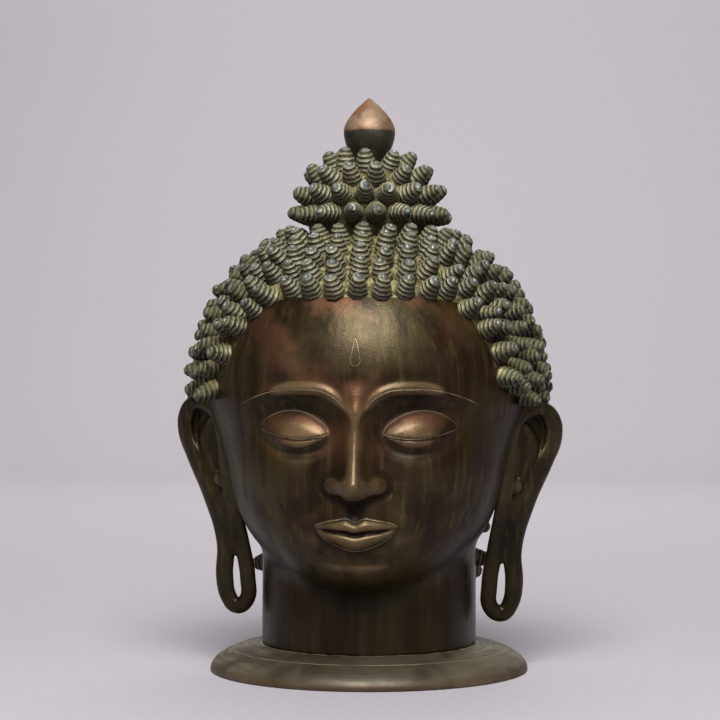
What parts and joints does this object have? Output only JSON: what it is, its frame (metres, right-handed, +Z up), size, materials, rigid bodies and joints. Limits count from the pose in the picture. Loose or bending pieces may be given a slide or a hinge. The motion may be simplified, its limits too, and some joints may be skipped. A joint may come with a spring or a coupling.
{
  "type": "brass buddha head statue",
  "caption": "Cast brass buddha head with rows of snail-shell curls, a crown bump with a pointed jewel, long pierced ear lobes and a plain neck on a low domed round foot.",
  "frame": {"origin": "middle of the round foot's flat underside, on the axis of the neck", "axes": "+Z up; the face looks along -Y; +X is the figure's left ear"},
  "size_m": [0.4054, 0.402, 0.6],
  "materials": {
    "foot_brass": "olive grey patina, satin, brighter on scribed lines and rim",
    "head_brass": "dark brown patina with reddish rubbed high places and grey-green hair",
    "jewel_brass": "polished above its girdle, dark patina below"
  },
  "bodies": {
    "root": {"base_collar": "foot_brass", "head": "head_brass", "finial": "jewel_brass"}
  },
  "joints": []
}
